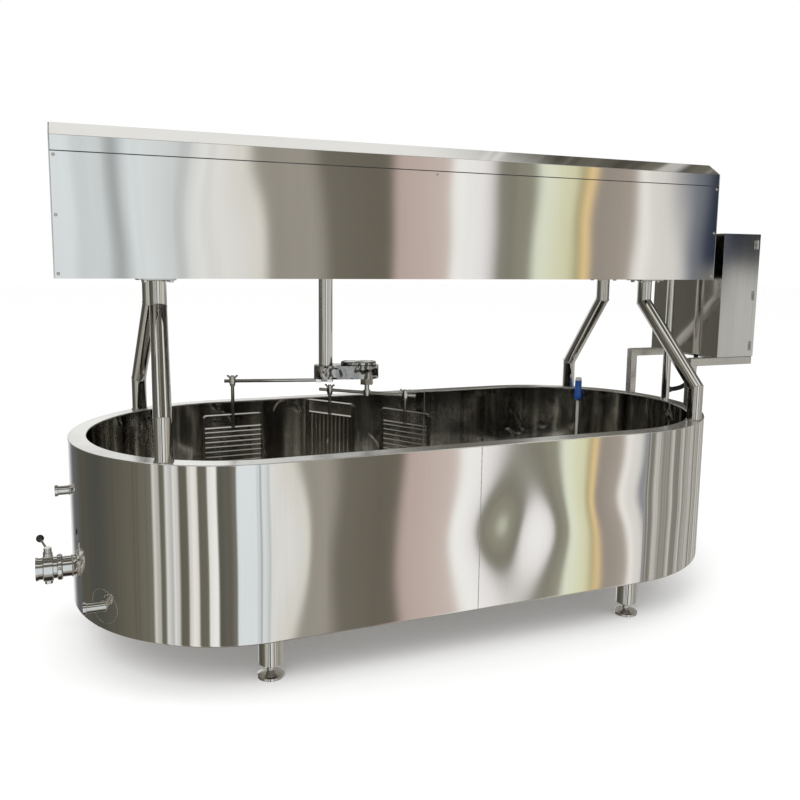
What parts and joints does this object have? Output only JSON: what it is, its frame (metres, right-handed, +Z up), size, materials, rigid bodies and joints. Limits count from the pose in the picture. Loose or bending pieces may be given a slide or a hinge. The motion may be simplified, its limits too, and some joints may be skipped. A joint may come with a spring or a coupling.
{
  "type": "cheese making machine",
  "caption": "Long round-ended jacketed vat on legs, with a closed beam over it that carries a travelling agitator with curd harps, and a control cabinet at one end.",
  "frame": {"origin": "on the floor, under the middle of the whole machine", "axes": "+X along the vat from the outlet valve to the control cabinet, +Y to the rear, +Z up"},
  "size_m": [3.1354, 1.243, 1.8835],
  "materials": {
    "polished_steel": "mirror polished stainless steel",
    "satin_steel": "satin stainless steel",
    "black_rubber": "matt",
    "belt_rubber": "matt",
    "motor_paint": "semi gloss",
    "black_knob": "gloss",
    "black_conduit": "matt",
    "blue_grip": "semi gloss",
    "pale_rod": "matt",
    "lamp_white": "gloss",
    "button_green": "gloss",
    "button_red": "gloss"
  },
  "bodies": {
    "vat": {"outer_shell": "polished_steel", "inner_liner": "polished_steel", "rim_flange": "satin_steel", "base_plate": "satin_steel", "leg_tubes": "satin_steel", "levelling_feet": "satin_steel", "outlet_pipe": "polished_steel", "outlet_union": "polished_steel", "valve_body": "polished_steel", "jacket_nozzles": "polished_steel", "post_front_left": "polished_steel", "post_rear_left": "polished_steel", "post_front_right": "polished_steel", "post_rear_right": "polished_steel", "post_bolts": "satin_steel", "wiring_post": "polished_steel", "beam_frame": "satin_steel", "beam_front_panel": "polished_steel", "beam_rear_panel": "polished_steel", "beam_roof_cap": "polished_steel", "beam_end_plates": "polished_steel", "panel_screws": "satin_steel", "end_buffers": "black_rubber", "control_box": "polished_steel", "hinge_pins": "satin_steel", "mounting_plate": "satin_steel", "box_bracket": "satin_steel", "conduit": "black_conduit", "conduit_glands": "black_knob", "probe_holder": "satin_steel"},
    "carriage": {"carriage_plate": "satin_steel", "bearing_blocks": "satin_steel", "agitator_gearmotor": "motor_paint", "travel_gearmotor": "motor_paint", "sun_pulley": "satin_steel"},
    "drive_wheels": {"drive_axle": "satin_steel"},
    "idle_wheels": {"idle_axle": "satin_steel"},
    "head": {"main_shaft": "polished_steel", "head_casing": "polished_steel", "casing_cover": "polished_steel", "drive_belt": "belt_rubber", "long_arm": "polished_steel", "wing_nut_long": "polished_steel"},
    "spindle": {"planet_spindle": "polished_steel", "short_arm": "polished_steel", "wing_nuts_short": "polished_steel"},
    "long_arm_harp": {"harp_1": "polished_steel"},
    "rear_harp": {"harp_2": "polished_steel"},
    "front_harp": {"harp_3": "polished_steel"},
    "valve": {"valve_disc": "polished_steel", "valve_handle": "polished_steel", "valve_knob": "black_knob"},
    "door": {"control_door": "polished_steel", "pilot_lamps": "lamp_white"},
    "latch": {"door_latch": "polished_steel"},
    "start": {"start_button": "button_green"},
    "stop": {"stop_button": "button_red"},
    "estop": {"emergency_stop": "button_red"},
    "probe": {"probe_grip": "blue_grip", "probe_rod": "pale_rod"}
  },
  "joints": [
    {"name": "carriage_travel", "type": "slide", "parent": "vat", "child": "carriage", "axis": [1, 0, 0], "range_m": [-0.3, 1.05]},
    {"name": "drive_axle_turn", "type": "hinge", "parent": "carriage", "child": "drive_wheels", "pos_m": [-0.29375, 0, 1.4678], "axis": [0, 1, 0], "continuous": true},
    {"name": "idle_axle_turn", "type": "hinge", "parent": "carriage", "child": "idle_wheels", "pos_m": [-0.63375, 0, 1.4678], "axis": [0, 1, 0], "continuous": true},
    {"name": "head_turn", "type": "hinge", "parent": "carriage", "child": "head", "pos_m": [-0.46375, 0, 1.026], "axis": [0, 0, 1], "continuous": true},
    {"name": "spindle_turn", "type": "hinge", "parent": "head", "child": "spindle", "pos_m": [-0.30006, -0.03779, 0.972], "axis": [0, 0, 1], "continuous": true},
    {"name": "long_arm_harp_set", "type": "hinge", "parent": "head", "child": "long_arm_harp", "pos_m": [-0.82427, 0.08323, 0.9643], "axis": [0, 0, 1], "range_deg": [-90, 90]},
    {"name": "rear_harp_set", "type": "hinge", "parent": "spindle", "child": "rear_harp", "pos_m": [-0.42458, 0.07046, 0.911], "axis": [0, 0, 1], "range_deg": [-90, 90]},
    {"name": "front_harp_set", "type": "hinge", "parent": "spindle", "child": "front_harp", "pos_m": [-0.17553, -0.14604, 0.911], "axis": [0, 0, 1], "range_deg": [-90, 90]},
    {"name": "valve_turn", "type": "hinge", "parent": "vat", "child": "valve", "pos_m": [-1.52475, 0, 0.31105], "axis": [0, 0, 1], "range_deg": [-17, 73]},
    {"name": "door_swing", "type": "hinge", "parent": "vat", "child": "door", "pos_m": [1.5215, -0.233, 1.302], "axis": [0, 0, -1], "range_deg": [0, 120]},
    {"name": "latch_turn", "type": "hinge", "parent": "door", "child": "latch", "pos_m": [1.54175, 0.1875, 1.302], "axis": [1, 0, 0], "range_deg": [0, 90]},
    {"name": "start_press", "type": "slide", "parent": "door", "child": "start", "axis": [-1, 0, 0], "range_m": [0, 0.004], "stiffness_N_per_m": 600},
    {"name": "stop_press", "type": "slide", "parent": "door", "child": "stop", "axis": [-1, 0, 0], "range_m": [0, 0.004], "stiffness_N_per_m": 600},
    {"name": "estop_press", "type": "slide", "parent": "door", "child": "estop", "axis": [-1, 0, 0], "range_m": [0, 0.005]},
    {"name": "probe_lift", "type": "slide", "parent": "vat", "child": "probe", "axis": [0, 0, 1], "range_m": [0, 0.09]}
  ],
  "couplings": [
    {"joint": "drive_axle_turn", "follows": "carriage_travel", "rad_per_m": 25},
    {"joint": "idle_axle_turn", "follows": "carriage_travel", "rad_per_m": 25},
    {"joint": "spindle_turn", "follows": "head_turn", "ratio": -2}
  ]
}
